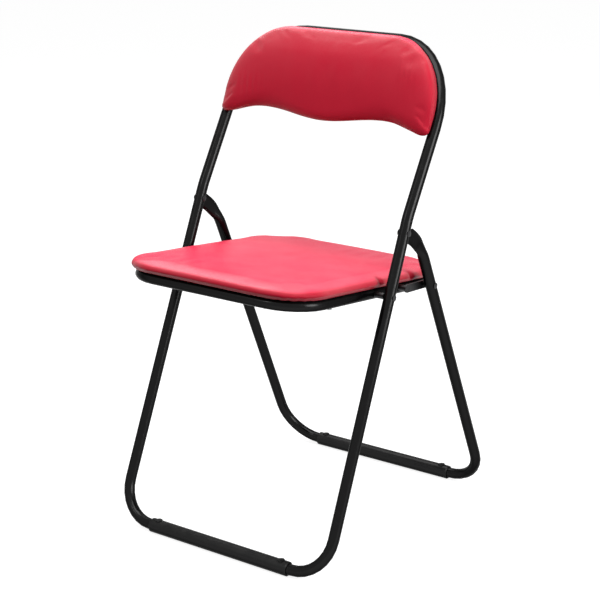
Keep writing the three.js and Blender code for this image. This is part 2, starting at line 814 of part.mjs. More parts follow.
// screws: the shank is a turned pin that starts under the head and ends in the board
function screw(length) {
  return turnedPiece([
    [0, -screwHeadRise],
    [screwHeadRadius / 2, -screwHeadRise],
    [screwHeadRadius, -screwHeadRise / 3],
    [screwHeadRadius, 0],
    [screwRadius, 0],
    [screwRadius, length - screwRadius / 2],
    [screwRadius / 2, length],
    [0, length],
  ], screwSides).rotateX(Math.PI / 2);
}
for (const [hand, sign] of sides) {
  screwPlaces.forEach((reach, i) => {
    const seatScrew = screw(2 * tubeRadius + 2 * gap + screwBite);
    place(`seat_screw_${braceNames[i]}_${hand}`, seatScrew, zincSteel, seat)
      .position.set(sign * rimHalfWidth, reach, -tubeRadius - gap);
  });
}
for (const tab of tabs) {
  const turn = angleOf(tab.inward);
  const plate = new THREE.BoxGeometry(tabReach, tabRise, tabThickness)
    .translate((tubeRadius + tabReach) / 2, 0, tubeRadius - tabThickness / 2)
    .rotateZ(turn)
    .translate(tab.from.x, tab.from.y, 0);
  const clearRadius = tubeRadius + gap;
  const tubeBody = new THREE.CylinderGeometry(clearRadius, clearRadius, tabRise + 2 * overrun, sleeveSides)
    .rotateZ(turn)
    .translate(tab.from.x, tab.from.y, 0);
  const hole = new THREE.CylinderGeometry(screwHole, screwHole, holeLength, screwSides)
    .rotateX(Math.PI / 2)
    .translate(tab.screw.x, tab.screw.y, tubeRadius);
  place(`back_tab_${tab.label}`, cut(plate, [tubeBody, hole]), blackPaint, back);
  place(`back_screw_${tab.label}`, screw(tabThickness + 2 * gap + screwBite), darkSteel, back)
    .position.set(tab.screw.x, tab.screw.y, tubeRadius - tabThickness - gap);
}

// pivots. Each turned piece starts at its inner end and runs outward along X.
function rivet(innerHead, grip, outerHead) {
  return turnedPiece([
    [0, -innerHead.rise - gap],
    [innerHead.radius / 2, -innerHead.rise - gap],
    [innerHead.radius, -innerHead.rise / 3 - gap],
    [innerHead.radius, -gap],
    [rivetRadius, -gap],
    [rivetRadius, grip + gap],
    [outerHead.radius, grip + gap],
    [outerHead.radius, grip + gap + outerHead.rise / 3],
    [outerHead.radius / 2, grip + gap + outerHead.rise],
    [0, grip + gap + outerHead.rise],
  ], pinSides);
}
const roundHead = { radius: rivetHeadRadius, rise: rivetHeadRise };
const rimOuterX = rimHalfWidth + tubeRadius;
const linkOuterX = Math.min(seatPivotX, linkPivotX) - tubeRadius - gap;
const linkInnerX = linkOuterX - linkThickness;

// flat link with round ends; it lies in the side view from the rear leg to the rim pin
function linkPlate() {
  const run = unitFrom(rimPin, linkPivot);
  const across = angleOf(run);
  const length = rimPin.distanceTo(linkPivot);
  const shape = new THREE.Shape();
  shape.absarc(length, 0, linkHalfWidth, -Math.PI / 2, Math.PI / 2);
  shape.absarc(0, 0, linkHalfWidth, Math.PI / 2, 3 * Math.PI / 2);
  const extrusion = { depth: linkThickness, bevelEnabled: false, curveSegments: 6 };
  const plate = new THREE.ExtrudeGeometry(shape, extrusion);
  // shape plane (x, y) to side view (y, z), depth to +X
  const upright = plate.applyMatrix4(new THREE.Matrix4().makeBasis(
    new THREE.Vector3(0, 1, 0),
    new THREE.Vector3(0, 0, 1),
    new THREE.Vector3(1, 0, 0),
  ));
  return upright.rotateX(across).translate(0, rimPin.x, rimPin.y);
}

for (const [label, sign] of sides) {
  placeAcross(
    `leg_pivot_rivet_${label}`,
    rivet(roundHead, 2 * tubeRadius, roundHead),
    darkSteel,
    sign,
    legPivotX - tubeRadius,
    legPivot.x,
    legPivot.y,
  );
  const rimInnerX = rimHalfWidth - tubeRadius;
  placeAcross(
    `seat_pivot_rivet_${label}`,
    rivet(roundHead, seatPivotX + tubeRadius - rimInnerX, roundHead),
    darkSteel,
    sign,
    rimInnerX,
    seatPivot.x,
    seatPivot.y,
  );
  const bushLength = seatPivotX - tubeRadius - rimOuterX - 2 * gap;
  const bush = turnedPiece([
    [pinHole, 0],
    [bushRadius, 0],
    [bushRadius, bushLength],
    [pinHole, bushLength],
    [pinHole, 0],
  ], pinSides);
  placeAcross(`seat_pivot_bush_${label}`, bush, darkSteel, sign, rimOuterX + gap, seatPivot.x, seatPivot.y);

  const plate = linkPlate().translate(sign > 0 ? linkInnerX : -linkOuterX, 0, 0);
  const through = (x, radius, length, at) => barX(radius, length, sign * x, at.x, at.y);
  const middleX = (linkInnerX + linkOuterX) / 2;
  const recess = linkHeadDepth + gap;
  place(`fold_link_${label}`, cut(plate, [
    through(middleX, pinHole, linkThickness + 2 * overrun, linkPivot),
    through(middleX, pinHole, linkThickness + 2 * overrun, rimPin),
    through(linkOuterX - recess + overrun, linkHeadRadius + gap, 2 * overrun, rimPin),
  ]), darkSteel);
  placeAcross(
    `link_leg_rivet_${label}`,
    rivet(roundHead, linkPivotX + tubeRadius - linkInnerX, roundHead),
    darkSteel,
    sign,
    linkInnerX,
    linkPivot.x,
    linkPivot.y,
  );
  // stub that seats in the link with its head sunk in the outer face
  const stub = turnedPiece([
    [0, 0],
    [rivetRadius, 0],
    [rivetRadius, linkThickness - linkHeadDepth],
    [linkHeadRadius, linkThickness - linkHeadDepth],
    [linkHeadRadius, linkThickness],
    [0, linkThickness],
  ], pinSides);
  placeAcross(`link_seat_rivet_${label}`, stub, darkSteel, sign, linkInnerX, rimPin.x, rimPin.y);
  const standLength = linkInnerX - rimOuterX - 2 * gap;
  const stand = turnedPiece([
    [0, 0],
    [bushRadius, 0],
    [bushRadius, standLength],
    [0, standLength],
  ], pinSides);
  placeAcross(`link_seat_stand_${label}`, stand, darkSteel, sign, rimOuterX + gap, rimPin.x, rimPin.y);
}

// the origin is on the floor, midway between the frontmost and the rearmost point
const extent = new THREE.Box3().setFromObject(chair, true);
build.position.y = -(extent.min.y + extent.max.y) / 2;

export default chair;
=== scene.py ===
import json
import math

import bmesh
import bpy
import numpy as np
from mathutils import Matrix, Vector

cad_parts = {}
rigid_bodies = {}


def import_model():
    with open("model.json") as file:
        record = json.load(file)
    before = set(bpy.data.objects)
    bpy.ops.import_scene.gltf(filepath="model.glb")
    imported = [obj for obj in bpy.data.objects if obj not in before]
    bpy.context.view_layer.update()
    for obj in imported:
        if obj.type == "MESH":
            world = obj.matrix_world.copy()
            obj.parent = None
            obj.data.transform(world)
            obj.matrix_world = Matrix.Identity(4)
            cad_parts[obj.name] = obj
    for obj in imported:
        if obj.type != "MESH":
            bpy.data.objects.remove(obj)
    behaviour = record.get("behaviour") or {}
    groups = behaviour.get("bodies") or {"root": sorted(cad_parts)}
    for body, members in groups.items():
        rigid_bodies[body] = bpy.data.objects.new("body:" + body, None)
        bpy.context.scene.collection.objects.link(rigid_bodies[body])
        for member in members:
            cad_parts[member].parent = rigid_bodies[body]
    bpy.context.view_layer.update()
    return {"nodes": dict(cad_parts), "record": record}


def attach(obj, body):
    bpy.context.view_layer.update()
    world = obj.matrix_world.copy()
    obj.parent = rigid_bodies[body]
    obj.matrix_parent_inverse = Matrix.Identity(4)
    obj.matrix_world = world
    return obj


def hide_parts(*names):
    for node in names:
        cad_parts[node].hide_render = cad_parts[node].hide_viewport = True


for left in list(bpy.data.objects):
    bpy.data.objects.remove(left)

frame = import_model()
nodes = frame["nodes"]
mm = 0.001
scene = bpy.context.scene


def deg(angle):
    return math.radians(angle)


def smoothStep(x):
    x = np.clip(x, 0, 1)
    return x * x * (3 - 2 * x)


# camera, solved from the photograph's own perspective
camera = {
    "lens": 99.235,
    "sensor": 36,
    "azimuth": 36.89,
    "elevation": 17.09,
    "roll": -0.58,
    "place": (1.54372, -2.06148, 1.15478),
    "nearest": 0.05,
    "farthest": 60,
}


def makeCamera(v):
    data = bpy.data.cameras.new("photoCamera")
    data.lens = v["lens"]
    data.sensor_width = v["sensor"]
    data.clip_start = v["nearest"]
    data.clip_end = v["farthest"]
    cam = bpy.data.objects.new("photoCamera", data)
    scene.collection.objects.link(cam)
    az, el, roll = deg(v["azimuth"]), deg(v["elevation"]), deg(v["roll"])
    back = Vector((math.sin(az) * math.cos(el), -math.cos(az) * math.cos(el), math.sin(el)))
    right = Vector((0, 0, 1)).cross(back).normalized()
    up = back.cross(right)
    right, up = (
        right * math.cos(roll) + up * math.sin(roll),
        up * math.cos(roll) - right * math.sin(roll),
    )
    turn = Matrix((right, up, back)).transposed()
    cam.matrix_world = Matrix.Translation(v["place"]) @ turn.to_4x4()
    scene.camera = cam


makeCamera(camera)
print("stage: camera")


# shader helpers
class Tree:
    # a thin hand for placing nodes and links in a tree
    def __init__(self, tree):
        self.tree = tree
        tree.nodes.clear()

    def add(self, kind, inputs=None, **settings):
        node = self.tree.nodes.new(kind)
        for name, value in settings.items():
            setattr(node, name, value)
        for name, value in (inputs or {}).items():
            self.feed(node.inputs[name], value)
        return node

    def feed(self, socket, value):
        if isinstance(value, bpy.types.NodeSocket):
            self.tree.links.new(value, socket)
        else:
            socket.default_value = value

    def math(self, operation, *values):
        inputs = dict(enumerate(values))
        return self.add("ShaderNodeMath", inputs, operation=operation).outputs[0]

    def ramp(self, value, low, high, fromValue=0.0, toValue=1.0):
        return self.add(
            "ShaderNodeMapRange",
            {"Value": value, "From Min": low, "From Max": high, "To Min": fromValue, "To Max": toValue},
        ).outputs["Result"]

    def curve(self, value, stops):
        node = self.add("ShaderNodeValToRGB", {"Fac": value})
        elements = node.color_ramp.elements
        while len(elements) < len(stops):
            elements.new(0.5)
        for element, (place, level) in zip(elements, stops):
            element.position = place
            element.color = (level, level, level, 1)
        return node.outputs["Color"]

    def noise(self, vector, scale, detail, roughness=0.5, distortion=0.0):
        inputs = {"Vector": vector, "Scale": scale, "Detail": detail}
        inputs |= {"Roughness": roughness, "Distortion": distortion}
        return self.add("ShaderNodeTexNoise", inputs).outputs["Fac"]

    def mixColour(self, factor, a, b):
        return self.add("ShaderNodeMix", {0: factor, 6: a, 7: b}, data_type="RGBA").outputs[2]

    def group(self, group, inputs):
        return self.add("ShaderNodeGroup", inputs, node_tree=group).outputs


def newGroup(name, inputs, outputs):
    group = bpy.data.node_groups.new(name, "ShaderNodeTree")
    for label, default in inputs.items():
        socket = group.interface.new_socket(label, in_out="INPUT", socket_type="NodeSocketFloat")
        socket.default_value = default
    for label in outputs:
        group.interface.new_socket(label, in_out="OUTPUT", socket_type="NodeSocketFloat")
    t = Tree(group)
    return group, t, t.add("NodeGroupInput").outputs, t.add("NodeGroupOutput").inputs


# pressed leather grain: pebbles between fine valleys, over a slow unevenness
grainShape = {
    "inputs": {"Pebble Scale": 900.0, "Valley Depth": 0.6, "Unevenness": 0.3},
    "warp": {"Scale": 260.0, "Detail": 2.0},
    "warpReach": 0.0016,
    "pebbleEdge": 0.28,
    "slow": (55.0, 3.0),
    "blotch": (9.0, 4.0, 0.6),
}


def makeGrainGroup(v):
    group, t, given, out = newGroup("vinylGrain", v["inputs"], ["Height", "Valley", "Blotch"])
    place = t.add("ShaderNodeTexCoord").outputs["Object"]
    warp = t.add("ShaderNodeTexNoise", {"Vector": place} | v["warp"]).outputs["Color"]
    offset = t.add("ShaderNodeVectorMath", {0: warp, "Scale": v["warpReach"]}, operation="SCALE")
    moved = t.add("ShaderNodeVectorMath", {0: place, 1: offset.outputs[0]}, operation="ADD")
    cells = t.add(
        "ShaderNodeTexVoronoi",
        {"Vector": moved.outputs[0], "Scale": given["Pebble Scale"]},
        feature="DISTANCE_TO_EDGE",
    )
    pebble = t.ramp(cells.outputs["Distance"], 0.0, v["pebbleEdge"])
    raised = t.math("MULTIPLY", pebble, given["Valley Depth"])
    slow = t.math("MULTIPLY", t.noise(place, *v["slow"]), given["Unevenness"])
    t.feed(out["Height"], t.math("ADD", raised, slow))
    t.feed(out["Valley"], t.math("SUBTRACT", 1.0, pebble))
    t.feed(out["Blotch"], t.noise(place, *v["blotch"]))
    return group


# sprayed and baked coat: orange peel with fine specks, and rubbed streaks
peelShape = {
    "inputs": {"Peel Scale": 420.0, "Speck Scale": 2600.0, "Streak Scale": 60.0},
    "peelDetail": (2.0, 0.45),
    "speckDetail": 1.0,
    "speckShare": 0.15,
    "streakStretch": (5.0, 5.0, 0.6),
    "streakDetail": (5.0, 0.62, 0.4),
    "rubRange": (0.52, 0.78),
}


def makePeelGroup(v):
    group, t, given, out = newGroup("coatPeel", v["inputs"], ["Height", "Rub"])
    place = t.add("ShaderNodeTexCoord").outputs["Object"]
    peel = t.noise(place, given["Peel Scale"], *v["peelDetail"])
    speck = t.noise(place, given["Speck Scale"], v["speckDetail"])
    stretched = t.add("ShaderNodeMapping", {"Vector": place, "Scale": v["streakStretch"]}).outputs[0]
    streak = t.noise(stretched, given["Streak Scale"], *v["streakDetail"])
    t.feed(out["Height"], t.math("ADD", peel, t.math("MULTIPLY", speck, v["speckShare"])))
    t.feed(out["Rub"], t.ramp(streak, *v["rubRange"]))
    return group


# fine dust that settles in patches on what faces up
dustShape = {
    "inputs": {"Amount": 0.2, "Patch Scale": 24.0},
    "upRange": (0.25, 1.0),
    "patchDetail": (5.0, 0.6),
    "patchRange": (0.38, 0.7),
}


def upward(t):
    normal = t.add("ShaderNodeNewGeometry").outputs["Normal"]
    return t.add("ShaderNodeSeparateXYZ", {"Vector": normal}).outputs["Z"]


def makeDustGroup(v):
    group, t, given, out = newGroup("settledDust", v["inputs"], ["Mask"])
    place = t.add("ShaderNodeTexCoord").outputs["Object"]
    facing = t.ramp(upward(t), *v["upRange"])
    patch = t.ramp(t.noise(place, given["Patch Scale"], *v["patchDetail"]), *v["patchRange"])
    t.feed(out["Mask"], t.math("MULTIPLY", t.math("MULTIPLY", facing, patch), given["Amount"]))
    return group


grain = makeGrainGroup(grainShape)
peel = makePeelGroup(peelShape)
dust = makeDustGroup(dustShape)


def newMaterial(name):
    material = bpy.data.materials.new(name)
    material.use_nodes = True
    t = Tree(material.node_tree)
    shader = t.add("ShaderNodeBsdfPrincipled")
    out = t.add("ShaderNodeOutputMaterial")
    t.tree.links.new(shader.outputs[0], out.inputs["Surface"])
    return material, t, shader


# gloss that fades towards the rim of a round piece
gleamRange = (0.15, 0.42)


def turnedAway(t):
    return t.add("ShaderNodeLayerWeight", {"Blend": 0.5}).outputs["Facing"]


def gleamInto(t, shader, v):
    level = t.ramp(turnedAway(t), *gleamRange, v["specularFacing"], v["specularGrazing"])
    t.feed(shader.inputs["Specular IOR Level"], level)


def bumpInto(t, shader, height, v):
    inputs = {"Height": height, "Strength": v["bump"], "Distance": v["bumpDistance"]}
    t.feed(shader.inputs["Normal"], t.add("ShaderNodeBump", inputs).outputs["Normal"])


vinyl = {
    "colour": (0.45, 0.0112, 0.030, 1),
    # painted light: faces that look up get a lighter red, standing in for the stronger light that falls on
    # top
    "paintedTopLightColour": (0.78, 0.0175, 0.075, 1),
    "paintedTopLightRange": (0.74, 0.98),
    "deepColour": (0.40, 0.0095, 0.026, 1),
    "deepRange": (0.4, 0.9, 0.0, 0.35),
    "valleyColour": (0.35, 0.0082, 0.023, 1),
    "valleyShare": 0.35,
    "dustColour": (0.75, 0.6, 0.6, 1),
    "dust": {"Amount": 0.05, "Patch Scale": 14.0},
    "grain": {"Pebble Scale": 820.0, "Valley Depth": 0.6, "Unevenness": 0.35},
    # range of the blotches, then the range of roughness that it gives
    "roughRange": (0.2, 0.8, 0.29, 0.38),
    "valleyRoughness": 0.08,
    # gloss level against the turn away from the viewer
    "gloss": [(0.2, 0.08), (0.46, 0.42), (0.66, 0.42), (0.78, 0.04), (0.88, 0.09), (1.0, 0.12)],
    "sheen": 0.02,
    "sheenRoughness": 0.4,
    "bump": 0.22,
    "bumpDistance": 0.0006,
}


def makeVinyl(v):
    material, t, shader = newMaterial("redVinyl")
    g = t.group(grain, v["grain"])
    d = t.group(dust, v["dust"])
    # painted light: upward faces mixed towards a lighter red, in place of the light that falls on top
    tone = t.mixColour(t.ramp(upward(t), *v["paintedTopLightRange"]), v["colour"], v["paintedTopLightColour"])
    tone = t.mixColour(t.ramp(g["Blotch"], *v["deepRange"]), tone, v["deepColour"])
    tone = t.mixColour(t.math("MULTIPLY", g["Valley"], v["valleyShare"]), tone, v["valleyColour"])
    t.feed(shader.inputs["Base Color"], t.mixColour(d["Mask"], tone, v["dustColour"]))
    rough = t.ramp(g["Blotch"], *v["roughRange"])
    rough = t.math("ADD", rough, t.math("MULTIPLY", g["Valley"], v["valleyRoughness"]))
    t.feed(shader.inputs["Roughness"], rough)
    t.feed(shader.inputs["Specular IOR Level"], t.curve(turnedAway(t), v["gloss"]))
    shader.inputs["Sheen Weight"].default_value = v["sheen"]
    shader.inputs["Sheen Roughness"].default_value = v["sheenRoughness"]
    bumpInto(t, shader, g["Height"], v)
    return material


coat = {
    "colour": (0.0019, 0.0018, 0.0020, 1),
    "rubColour": (0.006, 0.006, 0.0063, 1),
    "rubShare": 0.5,
    "peel": {"Peel Scale": 380.0, "Speck Scale": 2400.0, "Streak Scale": 42.0},
    "dustColour": (0.12, 0.115, 0.11, 1),
    "dust": {"Amount": 0.05, "Patch Scale": 30.0},
    "roughness": 0.20,
    "rubRoughness": 0.16,
    "dustRoughness": 0.5,
    "specularFacing": 0.16,
    "specularGrazing": 0.02,
    "bump": 0.06,
    "bumpDistance": 0.0004,
}
plastic = {
    "colour": (0.004, 0.004, 0.0042, 1),
    "rubColour": (0.014, 0.014, 0.014, 1),
    "rubShare": 0.6,
    "peel": {"Peel Scale": 900.0, "Speck Scale": 3400.0, "Streak Scale": 90.0},
    "dustColour": (0.2, 0.19, 0.18, 1),
    "dust": {"Amount": 0.08, "Patch Scale": 40.0},
    "roughness": 0.32,
    "rubRoughness": 0.2,
    "dustRoughness": 0.0,
    "specularFacing": 0.21,
    "specularGrazing": 0.03,
    "bump": 0.25,
    "bumpDistance": 0.0004,
}


def makeBlack(name, v):
    material, t, shader = newMaterial(name)
    g = t.group(peel, v["peel"])
    d = t.group(dust, v["dust"])
    tone = t.mixColour(t.math("MULTIPLY", g["Rub"], v["rubShare"]), v["colour"], v["rubColour"])
    t.feed(shader.inputs["Base Color"], t.mixColour(d["Mask"], tone, v["dustColour"]))
    rough = t.math("ADD", t.math("MULTIPLY", g["Rub"], v["rubRoughness"]), v["roughness"])
    rough = t.math("ADD", rough, t.math("MULTIPLY", d["Mask"], v["dustRoughness"]))
    t.feed(shader.inputs["Roughness"], rough)
    gleamInto(t, shader, v)
    bumpInto(t, shader, g["Height"], v)
    return material


# hardboard: short fibres pressed flat, darker where it is soaked
boardStain = {
    "colour": (0.030, 0.021, 0.016, 1),
    "fibreColour": (0.065, 0.046, 0.034, 1),
    "fibreStretch": (1.0, 6.0, 6.0),
    "fibre": (150.0, 6.0, 0.65, 0.6),
    "fibreRange": (0.35, 0.7),
    "soakColour": (0.012, 0.009, 0.008, 1),
    "soak": (12.0, 3.0),
    "soakRange": (0.4, 0.8, 0.0, 0.4),
    "dustColour": (0.25, 0.24, 0.22, 1),
    "dust": {"Amount": 0.1, "Patch Scale": 18.0},
    "roughRange": (0.3, 0.7, 0.72, 0.86),
    "specular": 0.3,
    "bump": 0.3,
    "bumpDistance": 0.0005,
}


def makeBoard(v):
    material, t, shader = newMaterial("stainedBoard")
    place = t.add("ShaderNodeTexCoord").outputs["Object"]
    long = t.add("ShaderNodeMapping", {"Vector": place, "Scale": v["fibreStretch"]}).outputs[0]
    fibre = t.noise(long, *v["fibre"])
    d = t.group(dust, v["dust"])
    tone = t.mixColour(t.ramp(fibre, *v["fibreRange"]), v["colour"], v["fibreColour"])
    tone = t.mixColour(t.ramp(t.noise(place, *v["soak"]), *v["soakRange"]), tone, v["soakColour"])
    t.feed(shader.inputs["Base Color"], t.mixColour(d["Mask"], tone, v["dustColour"]))
    t.feed(shader.inputs["Roughness"], t.ramp(fibre, *v["roughRange"]))
    shader.inputs["Specular IOR Level"].default_value = v["specular"]
    bumpInto(t, shader, fibre, v)
    return material


steel = {
    "peel": {"Peel Scale": 1500.0, "Speck Scale": 5000.0},
    "dullShare": 0.6,
    "dustColour": (0.2, 0.19, 0.18, 1),
    "dust": {"Amount": 0.1, "Patch Scale": 60.0},
    "metallic": 0.95,
    "dustMetallic": 0.9,
    "rubRoughness": 0.2,
    "bump": 0.15,
    "bumpDistance": 0.0003,
}
blackened = {"colour": (0.03, 0.03, 0.0315, 1), "roughness": 0.36, "streaks": 120.0}
zinc = {"colour": (0.52, 0.53, 0.54, 1), "roughness": 0.32, "streaks": 160.0}


def makeSteel(name, v, kind):
    material, t, shader = newMaterial(name)
    g = t.group(peel, v["peel"] | {"Streak Scale": kind["streaks"]})
    d = t.group(dust, v["dust"])
    dull = tuple(c * v["dullShare"] for c in kind["colour"][:3]) + (1,)
    tone = t.mixColour(g["Rub"], kind["colour"], dull)
    t.feed(shader.inputs["Base Color"], t.mixColour(d["Mask"], tone, v["dustColour"]))
    dusty = t.math("MULTIPLY", d["Mask"], v["dustMetallic"])
    t.feed(shader.inputs["Metallic"], t.math("SUBTRACT", v["metallic"], dusty))
    rubbed = t.math("MULTIPLY", g["Rub"], v["rubRoughness"])
    t.feed(shader.inputs["Roughness"], t.math("ADD", rubbed, kind["roughness"]))
    bumpInto(t, shader, g["Height"], v)
    return material


redVinyl = makeVinyl(vinyl)
zincSteel = makeSteel("zincSteel", steel, zinc)
slotMaterials = {
    "black_paint": makeBlack("blackCoat", coat),
    "black_plastic": makeBlack("sleevePlastic", plastic),
    "red_vinyl": redVinyl,
    "dark_board": makeBoard(boardStain),
    "dark_steel": makeSteel("blackenedSteel", steel, blackened),
    "zinc_steel": zincSteel,
}
print("stage: materials")


# carried-over pieces: welded and smoothed in a modifier, the mesh itself is left alone
smoothing = {"weld": 0.00002, "sharpAngle": 38.0}


def makeSmoother(v):
    group = bpy.data.node_groups.new("smoothFacets", "GeometryNodeTree")
    group.interface.new_socket("Geometry", in_out="INPUT", socket_type="NodeSocketGeometry")
    group.interface.new_socket("Geometry", in_out="OUTPUT", socket_type="NodeSocketGeometry")
    t = Tree(group)
    source = t.add("NodeGroupInput")
    sink = t.add("NodeGroupOutput")
    weld = t.add("GeometryNodeMergeByDistance", {"Geometry": source.outputs[0], "Distance": v["weld"]})
    angle = t.add("GeometryNodeInputMeshEdgeAngle")
    sharp = t.add(
        "FunctionNodeCompare",
        {"A": angle.outputs[0], "B": deg(v["sharpAngle"])},
        data_type="FLOAT",
        operation="GREATER_THAN",
    )
    normal = t.add(
        "GeometryNodeSetMeshNormal",
        {
            "Mesh": weld.outputs[0],
            "Remove Custom": True,
            "Edge Sharpness": sharp.outputs[0],
            "Face Sharpness": False,
        },
        mode="SHARPNESS",
    )
    t.tree.links.new(normal.outputs[0], sink.inputs[0])
    return group


smoother = makeSmoother(smoothing)
slotOfNode = {s["node"]: s["material_slot"] for s in frame["record"]["subparts"]}
for name, node in nodes.items():
    node.data.materials.clear()
    node.data.materials.append(slotMaterials[slotOfNode[name]])
    node.modifiers.new("smoothFacets", "NODES").node_group = smoother
print("stage: carried-over pieces")


# pads: one grid over the crown, rings down the rolled side and under the lip
def sampleRun(points, count):
    # evenly spaced points along a run, both ends included
    points = np.array(points, float)
    steps = np.hypot(*np.diff(points, axis=0).T)
    reach = np.concatenate([[0], np.cumsum(steps)])
    wanted = np.linspace(0, reach[-1], count + 1)
    return np.stack([np.interp(wanted, reach, points[:, k]) for k in (0, 1)], axis=1)


def seatOutline(v, inset):
    # four sides, each from the middle of one rounded corner to the middle of the next
    half, low, high = v["halfWidth"] - inset, v["front"] + inset, v["rear"] - inset
    front, rear = v["frontCorner"] - inset, v["rearCorner"] - inset
    eighth = math.pi / 4
    arc = np.linspace(0, eighth, v["arcPoints"])

    def corner(centre, radius, start, forward):
        angles = start + (arc if forward else arc - eighth)
        return [(centre[0] + radius * math.cos(a), centre[1] + radius * math.sin(a)) for a in angles]

    frontLeft, frontRight = (-half + front, low + front), (half - front, low + front)
    rearLeft, rearRight = (-half + rear, high - rear), (half - rear, high - rear)
    return [
        corner(frontLeft, front, 5 * eighth, True) + corner(frontRight, front, 7 * eighth, False),
        corner(frontRight, front, 7 * eighth, True) + corner(rearRight, rear, eighth, False),
        corner(rearRight, rear, eighth, True) + corner(rearLeft, rear, 3 * eighth, False),
        corner(rearLeft, rear, 3 * eighth, True) + corner(frontLeft, front, 5 * eighth, False),
    ]


def backOutline(v, inset):
    # four sides: the waved lower edge, the right side, the top and the left side
    half, low, top = v["halfWidth"] - inset, v["lowCorner"] + inset, v["top"] - inset
    radius = max(v["lowRadius"] - v["lowRadiusInset"] * inset, v["leastRadius"])
    width = v["cornerWidth"] - v["cornerWidthInset"] * inset
    rise = v["cornerRise"] - v["cornerRiseInset"] * inset
    corner = half - radius
    lowPoints, arcPoints, bowPoints = v["outlinePoints"]
    lowSplit, bowSplit = v["splits"]

    def lowEdge(x):
        reach = abs(x)
        lobe = low + v["lobeRise"]
        if reach < v["lobeHalfSpan"]:
            return lobe - v["humpDrop"] * (1 + math.cos(math.pi * reach / v["lobeHalfSpan"])) / 2
        share = min(1, (reach - v["lobeHalfSpan"]) / (corner - v["lobeHalfSpan"]))
        return lobe - v["lobeRise"] * float(smoothStep(share ** v["lobeBend"]))

    bottom = [(x, lowEdge(x)) for x in np.linspace(0, corner, lowPoints)]
    arc = [
        (corner + radius * math.cos(a), low + radius * (1 + math.sin(a)))
        for a in np.linspace(-math.pi / 2, 0, arcPoints)
    ]
    bow = [
        (half - width * (1 - math.cos(a)), top - rise * (1 - math.sin(a)))
        for a in np.linspace(0, math.pi / 2, bowPoints)
    ]
    lowRight = bottom + arc[1:lowSplit + 1]
    right = arc[lowSplit:] + bow[:bowSplit + 1]
    topRight = bow[bowSplit:] + [(0, top)]

    def other(points):
        return [(-x, y) for x, y in reversed(points)]

    return [
        other(lowRight)[:-1] + lowRight,
        right,
        topRight[:-1] + other(topRight),
        other(right),
    ]


def coons(sides, nx, ny):
    # a grid between four sides that run round the outline: bottom, right, top, left
    bottom, right, top, left = (sampleRun(s, n) for s, n in zip(sides, (nx, ny, nx, ny)))
    top, left = top[::-1], left[::-1]
    u = np.linspace(0, 1, nx + 1)[:, None, None]
    w = np.linspace(0, 1, ny + 1)[None, :, None]
    across = (1 - w) * bottom[:, None, :] + w * top[:, None, :]
    along = (1 - u) * left[None, :, :] + u * right[None, :, :]
    corners = (
        (1 - u) * (1 - w) * bottom[0] + u * (1 - w) * bottom[-1]
        + (1 - u) * w * top[0] + u * w * top[-1]
    )
    return across + along - corners


def ringOf(sides, nx, ny):
    runs = [sampleRun(s, n)[:-1] for s, n in zip(sides, (nx, ny, nx, ny))]
    return np.concatenate(runs)


def padMesh(name, v, outline, heightAt):
    nx, ny = v["cells"]
    floor = v["floor"]
    profile = v["profile"]
    crownInset, crownShare = profile[0]
    grid = coons(outline(v, crownInset), nx, ny)
    u = np.linspace(-1, 1, nx + 1)[:, None]
    w = np.linspace(-1, 1, ny + 1)[None, :]
    dome = (1 - np.abs(u) ** v["domePower"]) * (1 - np.abs(w) ** v["domePower"])
    share = crownShare + (1 - crownShare) * dome
    rise = floor + (heightAt(v, grid[..., 1]) - floor) * share
    points = [(x, y, z) for (x, y), z in zip(grid.reshape(-1, 2), rise.ravel())]
    faces = []

    def cell(i, j):
        return i * (ny + 1) + j

    for i in range(nx):
        for j in range(ny):
            faces.append((cell(i, j), cell(i + 1, j), cell(i + 1, j + 1), cell(i, j + 1)))
    edgeCells = [(i, 0) for i in range(nx)] + [(nx, j) for j in range(ny)]
    edgeCells += [(nx - i, ny) for i in range(nx)] + [(0, ny - j) for j in range(ny)]
    count = len(edgeCells)

    def skirt(upper, lower):
        for k in range(count):
            m = (k + 1) % count
            faces.append((upper[k], lower[k], lower[m], upper[m]))

    def ringDown(inset, part, before):
        ring = ringOf(outline(v, inset), nx, ny)
        height = floor + (heightAt(v, ring[:, 1]) - floor) * part
        here = list(range(len(points), len(points) + count))
        points.extend((x, y, z) for (x, y), z in zip(ring, height))
        skirt(before, here)
        return here

    edge = [cell(i, j) for i, j in edgeCells]
    for inset, part in profile[1:]:
        edge = ringDown(inset, part, edge)
    # from here on the cover is stapled: the last two rings of the profile, the lip, the recess
    pinFrom = len(points) - 2 * count
    edge = ringDown(v["lip"], 0, edge)
    # the ceiling of the board's recess is a second grid, facing down
    ceiling = coons(outline(v, v["lip"]), nx, ny)
    start = len(points)
    points += [(x, y, v["boardTop"]) for x, y in ceiling.reshape(-1, 2)]
    for i in range(nx):
        for j in range(ny):
            square = (cell(i, j), cell(i, j + 1), cell(i + 1, j + 1), cell(i + 1, j))
            faces.append(tuple(start + k for k in square))
    skirt(edge, [start + cell(i, j) for i, j in edgeCells])
    mesh = bpy.data.meshes.new(name)
    mesh.from_pydata(points, [], faces)
    mesh.update()
    piece = bpy.data.objects.new(name, mesh)
    scene.collection.objects.link(piece)
    pin = piece.vertex_groups.new(name="pin")
    pin.add(list(range(pinFrom, len(points))), 1.0, "REPLACE")
    return piece


# air pressure stretches the cover over the foam; the cover's lip stays stapled
cover = {
    "quality": 6,
    "mass": 0.35,
    "stretch": 22,
    "shear": 12,
    "bending": 0.6,
    "pressure": 4.0,
    "frames": 20,
}


